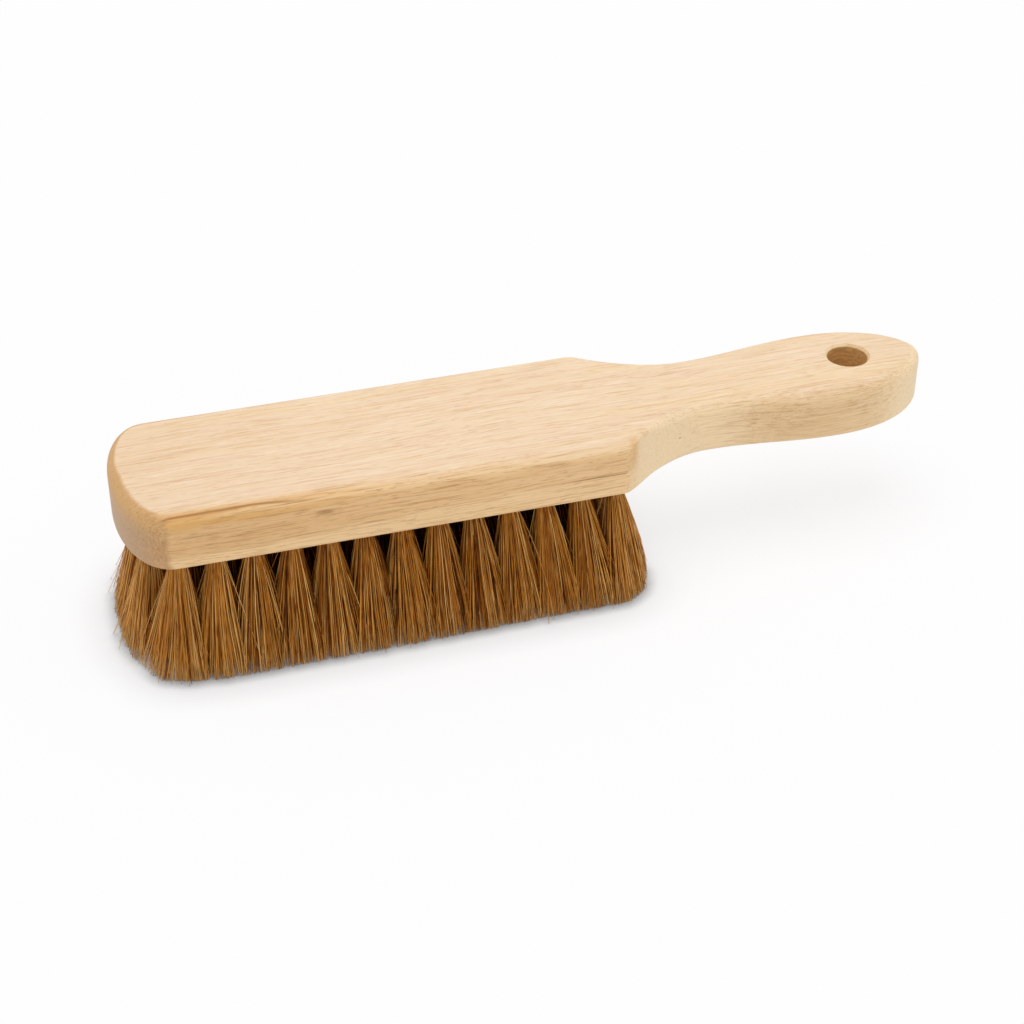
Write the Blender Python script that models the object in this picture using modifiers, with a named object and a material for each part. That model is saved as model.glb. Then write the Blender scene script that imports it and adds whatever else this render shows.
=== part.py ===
# Hand brush: a one-piece beech stock, head and handle in one, with four rows of
# fibre tufts set in blind holes. Metres, +Z up, the head's nose towards -X.
# The brush stands on the tips of its bristles, which are trimmed level at z = 0.
import math
import random

import bmesh
import bpy
from mathutils import Vector

# Stock seen from above, one stretch after another from the nose to the handle's tip
HEAD_LENGTH = 0.163
SCOOP_LENGTH = 0.0334
SWELL_LENGTH = 0.0466
TIP_LENGTH = 0.037
HEAD_WIDTH = 0.0602
NECK_WIDTH = 0.0306
PALM_WIDTH = 0.0393
NOSE_DEPTH = 0.0155

# How full each curve of the outline is: 2 gives an ellipse, more is squarer
NOSE_FULLNESS = 2.1
SCOOP_HOLLOWNESS = 1.8
TIP_FULLNESS_ALONG = 2.2
TIP_FULLNESS_ACROSS = 1.65
NOSE_STEPS = 9
SCOOP_STEPS = 7
SWELL_STEPS = 8
TIP_STEPS = 9

# Stock seen from the side
STOCK_THICKNESS = 0.019
BRISTLE_LENGTH = 0.039
HEAD_TOP_ROUND = 0.0034
HANDLE_TOP_ROUND = 0.0045
HEAD_UNDER_ROUND = 0.0006
HANDLE_UNDER_ROUND = 0.0025
ROUND_SEGMENTS = 3

# Hanging hole, with the same chamfer at both of its mouths
HANGING_HOLE_FROM_TIP = 0.0266
HANGING_BORE_RADIUS = 0.00685
HANGING_CHAMFER = 0.0009
HANGING_SIDES = 28

# Rows of tufts: the inner rows stand half a step nearer the nose than the outer rows
ROWS = 4
TUFTS_PER_ROW = 13
FIRST_TUFT_FROM_NOSE = 0.0165
LAST_TUFT_FROM_SHOULDER = 0.0025
OUTER_ROW_FROM_SIDE = 0.0065
TUFT_HOLE_RADIUS = 0.0026
TUFT_HOLE_DEPTH = 0.012
DRILL_POINT = 0.0007

# Bristles: each tuft holds a block of strands, three by three, and fans out as it falls
STRANDS_ACROSS = 3
END_SPLAY = 0.0078
SIDE_SPLAY = 0.0068
KNEE_DEPTH = 0.013
KNEE_SPREAD_SHARE = 0.74
CORNER_DRAW_SHARE = 0.82
CORE_SHARE = 0.36
KNEE_SWELL_SHARE = 1.15
TIP_SWELL_SHARE = 1.4
STRAY_SHARE = 0.10
STRAY_SEED = 7

# Clearance between a tuft's folded root and its hole, and the overrun of every cutter
FIT_GAP = 0.0003
CUT_OVERRUN = 0.002

# Welding, and what counts as level or as a hard edge
WELD_DISTANCE = 0.00003
LEVEL_NORMAL_SHARE = 0.99
HARD_EDGE_DEGREES = 35

# Places that follow from the sizes above
SHOULDER_PLACE = HEAD_LENGTH
NECK_PLACE = SHOULDER_PLACE + SCOOP_LENGTH
PALM_PLACE = NECK_PLACE + SWELL_LENGTH
TOTAL_LENGTH = PALM_PLACE + TIP_LENGTH
STOCK_UNDERSIDE = BRISTLE_LENGTH
TUFT_STEP = (HEAD_LENGTH - FIRST_TUFT_FROM_NOSE - LAST_TUFT_FROM_SHOULDER) / (TUFTS_PER_ROW - 1)
OUTER_ROW = HEAD_WIDTH / 2 - OUTER_ROW_FROM_SIDE
ROW_STEP = 2 * OUTER_ROW / (ROWS - 1)
FIELD_START = FIRST_TUFT_FROM_NOSE - TUFT_STEP / 2
FIELD_END = HEAD_LENGTH - LAST_TUFT_FROM_SHOULDER
FIELD_MIDDLE = (FIELD_START + FIELD_END) / 2
FIELD_HALF = (FIELD_END - FIELD_START) / 2
EIGHTH_TURN = math.pi / 4


def linear(red, green, blue):
    # A colour as seen on screen, 0 to 255, in the linear values that a shader takes
    def channel(value):
        share = value / 255
        return share / 12.92 if share <= 0.04045 else ((share + 0.055) / 1.055) ** 2.4

    return (channel(red), channel(green), channel(blue), 1)


def principled(name, colour, roughness):
    material = bpy.data.materials.new(name)
    material.use_nodes = True
    shader = material.node_tree.nodes["Principled BSDF"]
    shader.inputs["Base Color"].default_value = colour
    shader.inputs["Roughness"].default_value = roughness
    shader.inputs["Metallic"].default_value = 0
    material.diffuse_color = colour
    return material


def beech_material():
    return principled("beech", linear(238, 208, 168), roughness=0.55)


def fibre_material(name, shade):
    # No two tufts have quite the same brown
    brown = linear(164, 108, 48)
    toned = tuple(channel * shade for channel in brown[:3]) + (1,)
    return principled(name, toned, roughness=0.6)


def new_object(name, mesh, collection, parent, location=(0, 0, 0)):
    made = bpy.data.objects.new(name, mesh)
    made.location = location
    made.parent = parent
    collection.objects.link(made)
    return made


def mesh_from(bm, name):
    bmesh.ops.recalc_face_normals(bm, faces=bm.faces[:])
    mesh = bpy.data.meshes.new(name)
    bm.to_mesh(mesh)
    bm.free()
    return mesh


def smooth_step(share):
    held = min(max(share, 0), 1)
    return held * held * (3 - 2 * held)


def arc_point(share, along, across):
    # A point on a rounded quarter of unit size, from its end on the centre line to its side
    turn = share * math.pi / 2
    return math.cos(turn) ** (2 / along), math.sin(turn) ** (2 / across)


def stock_side():
    # Half of the stock's outline, from the nose to the tip, as distances along and out
    points = []
    for step in range(NOSE_STEPS + 1):
        back, out = arc_point(step / NOSE_STEPS, NOSE_FULLNESS, NOSE_FULLNESS)
        points.append((NOSE_DEPTH * (1 - back), HEAD_WIDTH / 2 * out))
    for step in range(SCOOP_STEPS):
        share = step / SCOOP_STEPS
        hollow = (1 - share) ** SCOOP_HOLLOWNESS
        out = NECK_WIDTH / 2 + (HEAD_WIDTH - NECK_WIDTH) / 2 * hollow
        points.append((SHOULDER_PLACE + SCOOP_LENGTH * share, out))
    for step in range(SWELL_STEPS):
        share = step / SWELL_STEPS
        swell = (1 - math.cos(math.pi * share)) / 2
        out = NECK_WIDTH / 2 + (PALM_WIDTH - NECK_WIDTH) / 2 * swell
        points.append((NECK_PLACE + SWELL_LENGTH * share, out))
    for step in range(TIP_STEPS + 1):
        share = 1 - step / TIP_STEPS
        along, out = arc_point(share, TIP_FULLNESS_ALONG, TIP_FULLNESS_ACROSS)
        points.append((PALM_PLACE + TIP_LENGTH * along, PALM_WIDTH / 2 * out))
    return points


def stock_outline():
    side = stock_side()
    return side + [(x, -y) for x, y in reversed(side[1:-1])]


def edge_round(x, on_head, on_handle):
    # The rounding of a rim at this distance from the nose: the head's, then the handle's
    return on_head + (on_handle - on_head) * smooth_step((x - SHOULDER_PLACE) / SCOOP_LENGTH)


def weigh_rims(mesh, widest):
    # Each rim edge's bevel weight is its own rounding as a share of the widest one
    bm = bmesh.new()
    bm.from_mesh(mesh)
    for side in (1, -1):
        level = [face for face in bm.faces if face.normal.z * side > LEVEL_NORMAL_SHARE]
        bmesh.ops.dissolve_faces(bm, faces=level)
    weight = bm.edges.layers.float.new("bevel_weight_edge")
    for edge in bm.edges:
        start, end = (vert.co for vert in edge.verts)
        middle = (start + end) / 2
        is_upright = start.z * end.z < 0
        if is_upright:
            continue
        if middle.z > 0:
            edge[weight] = edge_round(middle.x, HEAD_TOP_ROUND, HANDLE_TOP_ROUND) / widest
        else:
            edge[weight] = edge_round(middle.x, HEAD_UNDER_ROUND, HANDLE_UNDER_ROUND) / widest
    bm.to_mesh(mesh)
    bm.free()


def extruded_outline(name, points, thickness):
    # A flat closed curve with thickness, turned into a welded mesh
    curve = bpy.data.curves.new(name, "CURVE")
    curve.dimensions = "2D"
    curve.fill_mode = "BOTH"
    curve.extrude = thickness / 2
    spline = curve.splines.new("POLY")
    spline.points.add(len(points) - 1)
    for target, (x, y) in zip(spline.points, points):
        target.co = (x, y, 0, 1)
    spline.use_cyclic_u = True
    drawn = bpy.data.objects.new(name, curve)
    bpy.context.scene.collection.objects.link(drawn)
    graph = bpy.context.evaluated_depsgraph_get()
    mesh = bpy.data.meshes.new_from_object(drawn.evaluated_get(graph))
    matrix = drawn.matrix_world.copy()
    bpy.data.objects.remove(drawn)
    bm = bmesh.new()
    bm.from_mesh(mesh)
    bmesh.ops.remove_doubles(bm, verts=bm.verts[:], dist=WELD_DISTANCE)
    bmesh.ops.recalc_face_normals(bm, faces=bm.faces[:])
    bm.to_mesh(mesh)
    bm.free()
    return mesh, matrix


def make_stock(collection, cutters, parent):
    mesh, matrix = extruded_outline("wooden_body", stock_outline(), STOCK_THICKNESS)
    widest = max(HEAD_TOP_ROUND, HANDLE_TOP_ROUND, HEAD_UNDER_ROUND, HANDLE_UNDER_ROUND)
    weigh_rims(mesh, widest)
    mesh.materials.append(beech_material())
    stock = new_object("wooden_body", mesh, collection, parent)
    stock.matrix_world = matrix
    stock.location.z += STOCK_UNDERSIDE + STOCK_THICKNESS / 2
    rounding = stock.modifiers.new("rounded rims", "BEVEL")
    rounding.limit_method = "WEIGHT"
    rounding.width = widest
    rounding.segments = ROUND_SEGMENTS
    rounding.use_clamp_overlap = False
    drilling = stock.modifiers.new("drilled holes", "BOOLEAN")
    drilling.operation = "DIFFERENCE"
    drilling.solver = "EXACT"
    drilling.operand_type = "COLLECTION"
    drilling.collection = cutters
    mesh.shade_smooth()
    mesh.set_sharp_from_angle(angle=math.radians(HARD_EDGE_DEGREES))
    return stock


def hide_cutter(cutter):
    cutter.hide_render = True
    cutter.display_type = "WIRE"


def make_hanging_cutter(cutters, parent):
    # A turned shape: the bore, opening by a chamfer at each face and running past it
    mouth = HANGING_BORE_RADIUS + HANGING_CHAMFER
    face = STOCK_THICKNESS / 2
    profile = [
        (0, face + CUT_OVERRUN),
        (mouth + CUT_OVERRUN, face + CUT_OVERRUN),
        (HANGING_BORE_RADIUS, face - HANGING_CHAMFER),
    ]
    profile += [(radius, -height) for radius, height in reversed(profile)]
    bm = bmesh.new()
    verts = [bm.verts.new((radius, 0, height)) for radius, height in profile]
    for start, end in zip(verts, verts[1:]):
        bm.edges.new((start, end))
    mesh = bpy.data.meshes.new("hanging_hole_cutter")
    bm.to_mesh(mesh)
    bm.free()
    place = (TOTAL_LENGTH - HANGING_HOLE_FROM_TIP, 0, STOCK_UNDERSIDE + STOCK_THICKNESS / 2)
    cutter = new_object("hanging_hole_cutter", mesh, cutters, parent, place)
    turning = cutter.modifiers.new("turned bore", "SCREW")
    turning.steps = HANGING_SIDES
    turning.render_steps = HANGING_SIDES
    turning.use_merge_vertices = True
    turning.merge_threshold = WELD_DISTANCE
    hide_cutter(cutter)


def eight_sided_peg(radius, length, crown):
    # A peg standing on z = 0, each end divided into nine cells: a square core, four cells
    # beside it and a cell at each corner. The far end's core is raised into a low crown.
    bm = bmesh.new()
    bmesh.ops.create_grid(
        bm, x_segments=STRANDS_ACROSS, y_segments=STRANDS_ACROSS, size=radius
    )
    corners = [vert for vert in bm.verts if len(vert.link_edges) == 2]
    for corner in corners:
        ends = [edge.other_vert(corner) for edge in corner.link_edges]
        bmesh.ops.connect_verts(bm, verts=ends)
    bmesh.ops.delete(bm, geom=corners, context="VERTS")
    core = CORE_SHARE * radius
    for vert in bm.verts:
        x, y, _ = vert.co
        if vert.is_boundary:
            turn = (math.floor(math.atan2(y, x) / EIGHTH_TURN) + 0.5) * EIGHTH_TURN
            vert.co = (radius * math.cos(turn), radius * math.sin(turn), 0)
        else:
            vert.co = (math.copysign(core, x), math.copysign(core, y), 0)
    raised = bmesh.ops.extrude_face_region(bm, geom=bm.faces[:])["geom"]
    for vert in raised:
        if isinstance(vert, bmesh.types.BMVert):
            is_core = vert.co.xy.length < (core + radius) / 2
            vert.co.z = length + (crown if is_core else 0)
    return bm


def tuft_places():
    # Row, number in the row, and the place of each tuft's root on the stock's underside
    for row in range(ROWS):
        is_outer = row in (0, ROWS - 1)
        start = FIRST_TUFT_FROM_NOSE if is_outer else FIELD_START
        for number in range(TUFTS_PER_ROW):
            yield row, number, start + TUFT_STEP * number, ROW_STEP * row - OUTER_ROW


def make_tuft_cutter(name, place, cutters, parent):
    bm = eight_sided_peg(TUFT_HOLE_RADIUS, CUT_OVERRUN + TUFT_HOLE_DEPTH, DRILL_POINT)
    bmesh.ops.translate(bm, verts=bm.verts[:], vec=(0, 0, -CUT_OVERRUN))
    hide_cutter(new_object(name, mesh_from(bm, name), cutters, parent, place))


def carry_face(face, centre, swell):
    middle = face.calc_center_median()
    for vert in face.verts:
        vert.co = centre + (vert.co - middle) * swell


def cell_of(face, radius):
    # Which of the three columns and three rows of strands starts from this cell
    middle = face.calc_center_median()
    return tuple(0 if abs(value) < radius / 4 else math.copysign(1, value) for value in middle[:2])


def make_tuft(name, row, number, x, y, collection, parent):
    # Modelled as a tuft on the near side: one on the far side is its mirror image
    side = -1 if y < 0 else 1
    radius = TUFT_HOLE_RADIUS - FIT_GAP / math.cos(EIGHTH_TURN / 2)
    bm = eight_sided_peg(radius, TUFT_HOLE_DEPTH - FIT_GAP, DRILL_POINT - FIT_GAP)
    lean_x = END_SPLAY * (x - FIELD_MIDDLE) / FIELD_HALF
    lean_y = -SIDE_SPLAY * abs(y) / OUTER_ROW
    gap_x = TUFT_STEP * (1 + END_SPLAY / FIELD_HALF) / STRANDS_ACROSS
    gap_y = ROW_STEP * (1 + SIDE_SPLAY / OUTER_ROW) / STRANDS_ACROSS
    knee_share = KNEE_DEPTH / BRISTLE_LENGTH
    stray = random.Random(STRAY_SEED + number + TUFTS_PER_ROW * min(row, ROWS - 1 - row))
    roots = [face for face in bm.faces if max(abs(vert.co.z) for vert in face.verts) == 0]
    roots.sort(key=lambda face: cell_of(face, radius))
    for root in roots:
        column, rank = cell_of(root, radius)
        draw = CORNER_DRAW_SHARE if column and rank else 1
        spread_x = gap_x * (column * draw + stray.uniform(-STRAY_SHARE, STRAY_SHARE))
        spread_y = gap_y * (rank * draw + stray.uniform(-STRAY_SHARE, STRAY_SHARE))
        knee = Vector((
            lean_x * knee_share + spread_x * KNEE_SPREAD_SHARE,
            lean_y * knee_share + spread_y * KNEE_SPREAD_SHARE,
            -KNEE_DEPTH,
        ))
        tip = Vector((lean_x + spread_x, lean_y + spread_y, -BRISTLE_LENGTH))
        strand = root
        for centre, swell in ((knee, KNEE_SWELL_SHARE), (tip, TIP_SWELL_SHARE)):
            strand = bmesh.ops.extrude_discrete_faces(bm, faces=[strand])["faces"][0]
            carry_face(strand, centre, swell)
    bmesh.ops.scale(bm, verts=bm.verts[:], vec=(1, -side, 1))
    mesh = mesh_from(bm, name)
    shade = 1 + stray.uniform(-STRAY_SHARE, STRAY_SHARE)
    mesh.materials.append(fibre_material(name + "_fibre", shade))
    return new_object(name, mesh, collection, parent, (x, y, STOCK_UNDERSIDE))


def clear_scene():
    for item in list(bpy.data.objects):
        bpy.data.objects.remove(item, do_unlink=True)


def new_collection(name):
    made = bpy.data.collections.new(name)
    bpy.context.scene.collection.children.link(made)
    return made


def centre_on_origin(brush, tufts):
    # The tips of the first tufts reach past the nose, so the brush is centred on its true ends
    nose_reach = min(tuft.location.x + vert.co.x for tuft in tufts for vert in tuft.data.vertices)
    brush.location.x = -(min(nose_reach, 0) + TOTAL_LENGTH) / 2


def build_brush():
    clear_scene()
    pieces = new_collection("hand_brush")
    cutters = new_collection("hand_brush_cutters")
    brush = new_object("brush_origin", None, pieces, None)
    tufts = []
    for row, number, x, y in tuft_places():
        label = f"row{row + 1}_{number + 1:02d}"
        make_tuft_cutter("hole_" + label, (x, y, STOCK_UNDERSIDE), cutters, brush)
        tufts.append(make_tuft("tuft_" + label, row, number, x, y, pieces, brush))
    make_hanging_cutter(cutters, brush)
    make_stock(pieces, cutters, brush)
    centre_on_origin(brush, tufts)


build_brush()
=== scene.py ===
import math

import bmesh
import bpy
import numpy as np
from mathutils import Matrix, Vector


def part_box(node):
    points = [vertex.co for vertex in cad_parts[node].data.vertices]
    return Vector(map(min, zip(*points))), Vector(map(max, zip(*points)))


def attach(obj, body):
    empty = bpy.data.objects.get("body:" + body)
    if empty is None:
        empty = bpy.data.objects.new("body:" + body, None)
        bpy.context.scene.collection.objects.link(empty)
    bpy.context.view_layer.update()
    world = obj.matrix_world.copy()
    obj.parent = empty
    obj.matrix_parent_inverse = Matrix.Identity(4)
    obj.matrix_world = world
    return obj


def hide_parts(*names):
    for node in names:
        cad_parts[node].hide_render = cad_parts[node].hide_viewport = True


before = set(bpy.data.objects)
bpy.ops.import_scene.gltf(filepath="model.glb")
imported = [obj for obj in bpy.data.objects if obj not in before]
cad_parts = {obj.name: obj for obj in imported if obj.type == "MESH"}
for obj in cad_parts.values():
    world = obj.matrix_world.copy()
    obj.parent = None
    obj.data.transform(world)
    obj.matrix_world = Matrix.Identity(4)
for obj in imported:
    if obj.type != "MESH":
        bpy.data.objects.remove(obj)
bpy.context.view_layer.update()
print("loaded the packed brush:", len(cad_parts), "nodes")

mm = 0.001
woodLow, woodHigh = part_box("wooden_body")
nose = woodLow.x  # the stock's outlines are written from here towards the handle
underside = woodLow.z
topFace = woodHigh.z


# Helpers for edit mode


def pickNothing():
    if bpy.context.object and bpy.context.object.mode == "EDIT":
        bpy.ops.object.mode_set(mode="OBJECT")
    bpy.ops.object.select_all(action="DESELECT")


def pickOnly(piece):
    pickNothing()
    piece.select_set(True)
    bpy.context.view_layer.objects.active = piece


def nameActive(name):
    piece = bpy.context.object
    piece.name = name
    piece.data.name = name
    return piece


def selectVerts(test):
    # in edit mode: select the vertices that pass the test, and nothing else
    bpy.ops.mesh.select_mode(type="VERT")
    bm = bmesh.from_edit_mesh(bpy.context.object.data)
    for vert in bm.verts:
        vert.select = test(vert.co)
    bm.select_flush_mode()
    bmesh.update_edit_mesh(bpy.context.object.data)


def selectFaces(test):
    # in edit mode: select the faces that pass the test, and nothing else
    bpy.ops.mesh.select_mode(type="FACE")
    bm = bmesh.from_edit_mesh(bpy.context.object.data)
    for face in bm.faces:
        face.select = test(face)
    bm.select_flush_mode()
    bmesh.update_edit_mesh(bpy.context.object.data)


def applyModifier(piece, kind, **settings):
    pickOnly(piece)
    modifier = piece.modifiers.new(kind.lower(), kind)
    for name, value in settings.items():
        setattr(modifier, name, value)
    bpy.ops.object.modifier_apply(modifier=modifier.name)


def copyOf(piece, name, place):
    # a copy with its own mesh, with its place in the mesh
    copied = bpy.data.objects.new(name, piece.data.copy())
    copied.data.name = name
    copied.data.transform(Matrix.Translation(place))
    bpy.context.scene.collection.objects.link(copied)
    return copied


def joined(pieces, name):
    pickNothing()
    for piece in pieces:
        piece.select_set(True)
    bpy.context.view_layer.objects.active = pieces[0]
    bpy.ops.object.join()
    return nameActive(name)


# Helpers for materials


class Value:
    # a node's output that can be added, multiplied and compared as a number is
    def __init__(self, paint, socket):
        self.paint = paint
        self.socket = socket

    def maths(self, operation, *values):
        inputs = dict(enumerate(values))
        return self.paint.node("ShaderNodeMath", {"operation": operation}, inputs)

    def __add__(self, other):
        return self.maths("ADD", self, other)

    def __sub__(self, other):
        return self.maths("SUBTRACT", self, other)

    def __mul__(self, other):
        return self.maths("MULTIPLY", self, other)

    def __truediv__(self, other):
        return self.maths("DIVIDE", self, other)

    def __pow__(self, other):
        return self.maths("POWER", self, other)

    def __abs__(self):
        return self.maths("ABSOLUTE", self)

    def __rsub__(self, other):
        return self.maths("SUBTRACT", other, self)

    __radd__ = __add__
    __rmul__ = __mul__

    def between(self, low, high):
        # 0 below low, 1 above high, and a smooth rise from one to the other
        return self.paint.node(
            "ShaderNodeMapRange", {"interpolation_type": "SMOOTHSTEP"},
            {"Value": self, "From Min": low, "From Max": high},
        )


class Paint:
    # one material, whose nodes are all made by its node method
    def __init__(self, name):
        self.material = bpy.data.materials.new(name)
        self.material.use_nodes = True
        self.nodes = self.material.node_tree.nodes
        self.shader = self.nodes["Principled BSDF"]

    def node(self, kind, settings, inputs, output=0):
        made = self.nodes.new(kind)
        for name, value in settings.items():
            setattr(made, name, value)
        self.fill(made, inputs)
        return Value(self, made.outputs[output])

    def fill(self, made, inputs):
        for name, value in inputs.items():
            if isinstance(value, Value):
                self.material.node_tree.links.new(value.socket, made.inputs[name])
            else:
                made.inputs[name].default_value = value

    def mixed(self, share, first, second):
        # 0, 6 and 7 are the factor and the two colours of a Mix node set to colours
        return self.node(
            "ShaderNodeMix", {"data_type": "RGBA"}, {0: share, 6: first, 7: second}, output=2
        )

    def noise(self, place, stretch, detail=2, roughness=0.5, shift=0):
        # noise whose grains have these sizes, in metres, along X, Y and Z
        moved = self.node(
            "ShaderNodeVectorMath", {"operation": "MULTIPLY_ADD"},
            {0: place, 1: [1 / size for size in stretch], 2: (shift, shift, shift)},
        )
        return self.node(
            "ShaderNodeTexNoise", {},
            {"Vector": moved, "Scale": 1, "Detail": detail, "Roughness": roughness},
        )


def onScreen(red, green, blue):
    # a colour as it looks on screen, 0 to 255, for a shader's socket
    def channel(value):
        share = value / 255
        return share / 12.92 if share <= 0.04045 else ((share + 0.055) / 1.055) ** 2.4

    return (channel(red), channel(green), channel(blue), 1)


# Camera, floor and lights

view = {
    # angles in radians
    "pan": 0.296,
    "tilt": 0.610,
    "roll": -0.001,
    "place": (-0.17996, -0.57095, 0.43442),
    "lens": 75.25,
    "nearest": 20 * mm,
}


def addCamera():
    ahead = Vector((
        math.sin(view["pan"]) * math.cos(view["tilt"]),
        math.cos(view["pan"]) * math.cos(view["tilt"]),
        -math.sin(view["tilt"]),
    ))
    right = Vector((math.cos(view["pan"]), -math.sin(view["pan"]), 0))
    up = right.cross(ahead)
    turned = Matrix((right, up, -ahead)).transposed() @ Matrix.Rotation(-view["roll"], 3, "Z")
    data = bpy.data.cameras.new("photo_camera")
    data.lens = view["lens"]
    data.clip_start = view["nearest"]
    camera = bpy.data.objects.new("photo_camera", data)
    camera.matrix_world = Matrix.LocRotScale(view["place"], turned.to_quaternion(), (1, 1, 1))
    bpy.context.scene.collection.objects.link(camera)
    bpy.context.scene.camera = camera


studio = {
    "worldStrength": 0.62,
    "keyStrength": 1.25,
    "keyFrom": (-0.10, 0, 0.95),
    "keyAngle": 50,
    "floorSize": 8.0,
    "floorColour": (249, 249, 250),
    "floorRoughness": 0.9,
    "floorGlow": 0.76,
    # how far each layer of the contact shadow reaches, and how strong it is
    "contact": [(5.1 * mm, 1), (5.1 * mm, 1), (17 * mm, 0.45)],
    "contactFacing": (0.2, 0.5, 0.8),
    "contactSamples": 12,
}


def addFloor():
    pickNothing()
    bpy.ops.mesh.primitive_plane_add(size=studio["floorSize"], location=(0, 0, 0))
    floor = nameActive("studio_floor")
    paint = Paint("studio_floor")
    paint.fill(paint.shader, {
        "Base Color": onScreen(*studio["floorColour"]),
        "Roughness": studio["floorRoughness"],
        "Specular IOR Level": 0,
    })
    # part of the floor is seen as plain white, dimmer where the brush stands on it, which
    # keeps its wide shadow pale and its contact shadow dark
    seen = paint.node("ShaderNodeLightPath", {}, {}, "Is Camera Ray")
    for other in ("Is Glossy Ray", "Is Transmission Ray"):
        seen = seen + paint.node("ShaderNodeLightPath", {}, {}, other)
    facing = paint.node("ShaderNodeCombineXYZ", {}, dict(zip("XYZ", studio["contactFacing"])))
    openness = 1
    for reach, strength in studio["contact"]:
        layer = paint.node(
            "ShaderNodeAmbientOcclusion", {"samples": studio["contactSamples"]},
            {"Distance": reach, "Normal": facing}, "AO",
        )
        openness = openness * (layer * strength + (1 - strength))
    black, white = (
        paint.node("ShaderNodeEmission", {}, {"Color": (share, share, share, 1), "Strength": 1})
        for share in (0, 1)
    )
    glow = paint.node("ShaderNodeMixShader", {}, {0: openness, 1: black, 2: white})
    lit = Value(paint, paint.shader.outputs[0])
    paler = paint.node("ShaderNodeMixShader", {}, {0: seen * studio["floorGlow"], 1: lit, 2: glow})
    paint.fill(paint.nodes["Material Output"], {"Surface": paler})
    floor.data.materials.append(paint.material)


def addLights():
    world = bpy.data.worlds.new("studio")
    bpy.context.scene.world = world
    world.use_nodes = True
    tree = world.node_tree
    background = tree.nodes["Background"]
    # the world looks white, and lights the brush with less than that
    path = tree.nodes.new("ShaderNodeLightPath")
    seen = path.outputs["Is Camera Ray"]
    for other in ("Is Glossy Ray", "Is Transmission Ray"):
        either = tree.nodes.new("ShaderNodeMath")
        either.operation = "MAXIMUM"
        tree.links.new(seen, either.inputs[0])
        tree.links.new(path.outputs[other], either.inputs[1])
        seen = either.outputs[0]
    strength = tree.nodes.new("ShaderNodeMapRange")
    strength.inputs["To Min"].default_value = studio["worldStrength"]
    strength.inputs["To Max"].default_value = 1
    tree.links.new(seen, strength.inputs["Value"])
    tree.links.new(strength.outputs[0], background.inputs["Strength"])
    background.inputs["Color"].default_value = (1, 1, 1, 1)
    data = bpy.data.lights.new("key_light", "SUN")
    data.energy = studio["keyStrength"]
    data.angle = math.radians(studio["keyAngle"])
    lamp = bpy.data.objects.new("key_light", data)
    lamp.rotation_euler = Vector(studio["keyFrom"]).to_track_quat("Z", "Y").to_euler()
    bpy.context.scene.collection.objects.link(lamp)
    bpy.context.scene.view_settings.view_transform = "Standard"


addCamera()
addFloor()
addLights()
print("camera, floor and lights are up")


# Beech

beech = {
    "tones": {
        # the broad faces, with their pinker and yellower bands
        "cream": (243, 215, 181),
        "blush": (239, 206, 171),
        "straw": (242, 212, 167),
        "shadeTan": (226, 192, 152),
        # fine marks
        "fleck": (206, 156, 104),
        "pale": (253, 236, 212),
        "brownLine": (146, 94, 44),
        "warmLine": (160, 106, 52),
        # the sides, where the wood is more golden, from the nose to the handle
        "honeyNose": (231, 186, 130),
        "honeyTip": (242, 199, 144),
        "honeyLow": (249, 211, 158),
        "honeyNeck": (254, 226, 181),
        "honeyPalm": (241, 207, 157),
        "amber": (222, 169, 95),
        # the cut ends of the grain: partly their own colour, partly painted shade on the nose and
        # painted light in the scoops
        "noseHigh": (207, 163, 107),
        "noseLow": (189, 155, 120),
        "noseCorner": (199, 155, 108),
        "scoopEnd": (255, 228, 184),
        "dot": (214, 166, 110),
        # marks of this board, and the hanging hole
        "smudge": (214, 150, 88),
        "pinhole": (176, 128, 82),
        "bore": (228, 184, 118),
        "chamfer": (250, 224, 180),
    },
    # how much each kind of mark shows
    "bands": (0.7, 0.6),
    "blotches": 0.6,
    "goldenRim": 0.8,
    "flecks": 0.5,
    "glints": 0.3,
    "sideFlecks": 0.3,
    "sideLines": 0.42,
    "endDots": 0.3,
    "roughEnds": (0.26, 0.18),
    # how far the grain sways across and up, and the golden side's edges wander
    "sway": (7 * mm, 5 * mm),
    "wander": 5 * mm,
    # the height of the line between the golden side's two bands, at the nose and the shoulder
    "sideBand": (43.2 * mm, 46.8 * mm),
    # marks of this board: places are from the nose, across and up
    # the dark line along the near rim is partly painted shade where the top turns into the
    # rounding
    "rimLine": {"across": -27.7 * mm, "start": 10 * mm, "end": 64 * mm},
    "sideLine": {"up": 46.6 * mm, "start": 128 * mm, "end": 164 * mm},
    "ridgeFromNose": 165.6 * mm,
    "smudgePlace": (170.0 * mm, -23.8 * mm, 57.8 * mm),
    "smudgeReach": 3.2 * mm,
    "knot": {"along": 62.6 * mm, "up": 51.6 * mm, "stretch": 3.4},
    # a blemish and two pinholes: place, reach, strength and tone
    "spots": [
        ((103.9 * mm, -28.0 * mm, 57.9 * mm), 1.5 * mm, 0.5, "smudge"),
        ((187.3 * mm, -16.0 * mm, 56.3 * mm), 0.6 * mm, 0.9, "pinhole"),
        ((186.0 * mm, -17.0 * mm, 47.8 * mm), 0.6 * mm, 0.9, "pinhole"),
    ],
    "roughness": 0.52,
    "roughnessVaries": 0.25,
    "specular": 0.35,
    "grainDepth": 0.1 * mm,
}


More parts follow.
